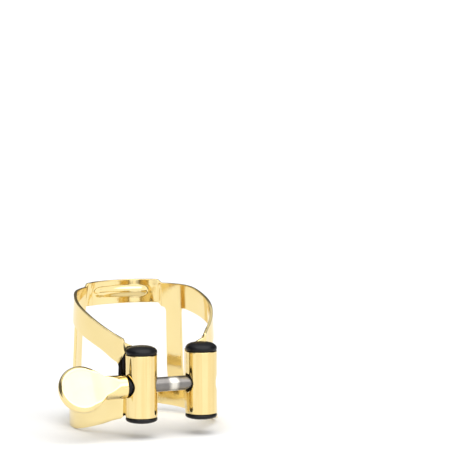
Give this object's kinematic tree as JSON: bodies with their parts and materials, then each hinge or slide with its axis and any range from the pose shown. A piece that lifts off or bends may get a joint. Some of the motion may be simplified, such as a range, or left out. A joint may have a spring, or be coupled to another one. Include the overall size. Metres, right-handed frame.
{
  "type": "saxophone ligature",
  "caption": "Gold-plated sheet ligature for a saxophone mouthpiece, open windows, two capped swivel posts drawn together by one thumbscrew with a flat paddle key.",
  "frame": {"origin": "on the mouthpiece axis, in the plane of the band's lowest edge", "axes": "+Z along the mouthpiece, up through the ligature; +Y to the reed side; +X along the clamping screw, away from the key"},
  "size_m": [0.0364, 0.0317, 0.0256],
  "materials": {
    "gold_plate": "polished gold plate on brass, mirror bright",
    "black_plastic": "black, satin to glossy",
    "raw_brass": "turned, unplated",
    "steel": "turned and polished"
  },
  "bodies": {
    "left_side": {"band_left": "gold_plate", "post_tube_left": "gold_plate"},
    "right_side": {"band_right": "gold_plate", "post_tube_right": "gold_plate"},
    "left_swivel": {"swivel_core_left": "black_plastic", "cap_left_top": "black_plastic", "cap_left_bottom": "black_plastic"},
    "right_swivel": {"swivel_core_right": "black_plastic", "cap_right_top": "black_plastic", "cap_right_bottom": "black_plastic", "thread_insert": "raw_brass"},
    "thumb_screw": {"thumb_key": "gold_plate", "screw_shaft": "steel", "thrust_washer": "black_plastic"}
  },
  "joints": [
    {"name": "left_post_swivel", "type": "hinge", "parent": "left_side", "child": "left_swivel", "pos_m": [-0.00595, -0.01429, 0.00975], "axis": [0, 0, 1], "range_deg": [-3.2, 3.2]},
    {"name": "screw_turn", "type": "hinge", "parent": "left_swivel", "child": "thumb_screw", "pos_m": [0, -0.01429, 0.00975], "axis": [1, 0, 0], "range_deg": [-2160, 2160]},
    {"name": "band_flex", "type": "hinge", "parent": "left_side", "child": "right_side", "pos_m": [0, 0.0138, 0.0125], "axis": [0, 0, 1], "range_deg": [-6.3, 6.3]},
    {"name": "right_post_swivel", "type": "hinge", "parent": "right_side", "child": "right_swivel", "pos_m": [0.00595, -0.01429, 0.00975], "axis": [0, 0, 1], "range_deg": [-3.2, 3.2]}
  ],
  "couplings": [
    {"joint": "band_flex", "follows": "screw_turn", "ratio": -0.002833},
    {"joint": "left_post_swivel", "follows": "screw_turn", "ratio": -0.0014165},
    {"joint": "right_post_swivel", "follows": "screw_turn", "ratio": 0.0014165}
  ]
}
